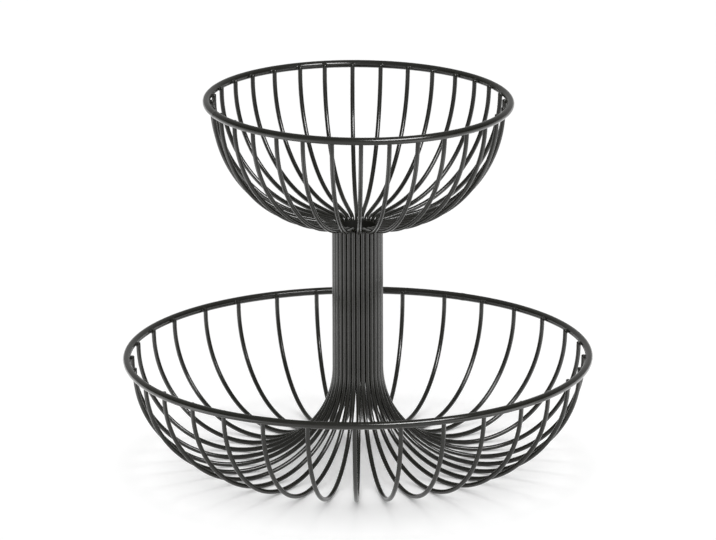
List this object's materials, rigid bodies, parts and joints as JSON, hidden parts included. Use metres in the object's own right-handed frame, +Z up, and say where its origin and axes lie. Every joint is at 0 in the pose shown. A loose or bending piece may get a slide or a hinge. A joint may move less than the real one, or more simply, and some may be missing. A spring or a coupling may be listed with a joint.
{
  "type": "tiered wire basket",
  "caption": "Two-tier black wire basket: a small upper bowl and a wide lower bowl of continuous bent wires that run together as a slim column between two ring rims.",
  "frame": {"origin": "on the surface that the basket stands on, under the middle of its column", "axes": "+Z up along the column, from the wide lower bowl to the small upper bowl; -Y is the side that the picture shows, +X is its right"},
  "size_m": [0.3806, 0.3806, 0.3033],
  "materials": {
    "black_powder_coat": "satin black powder coat over steel rod, wire and tube"
  },
  "bodies": {
    "root": {"lower_rim": "black_powder_coat", "upper_rim": "black_powder_coat", "core_tube": "black_powder_coat", "rib_wire_01": "black_powder_coat", "rib_wire_02": "black_powder_coat", "rib_wire_03": "black_powder_coat", "rib_wire_04": "black_powder_coat", "rib_wire_05": "black_powder_coat", "rib_wire_06": "black_powder_coat", "rib_wire_07": "black_powder_coat", "rib_wire_08": "black_powder_coat", "rib_wire_09": "black_powder_coat", "rib_wire_10": "black_powder_coat", "rib_wire_11": "black_powder_coat", "rib_wire_12": "black_powder_coat", "rib_wire_13": "black_powder_coat", "rib_wire_14": "black_powder_coat", "rib_wire_15": "black_powder_coat", "rib_wire_16": "black_powder_coat", "rib_wire_17": "black_powder_coat", "rib_wire_18": "black_powder_coat", "rib_wire_19": "black_powder_coat", "rib_wire_20": "black_powder_coat", "rib_wire_21": "black_powder_coat", "rib_wire_22": "black_powder_coat", "rib_wire_23": "black_powder_coat", "rib_wire_24": "black_powder_coat", "rib_wire_25": "black_powder_coat", "rib_wire_26": "black_powder_coat", "rib_wire_27": "black_powder_coat", "rib_wire_28": "black_powder_coat", "rib_wire_29": "black_powder_coat", "rib_wire_30": "black_powder_coat", "rib_wire_31": "black_powder_coat", "rib_wire_32": "black_powder_coat"}
  },
  "joints": []
}
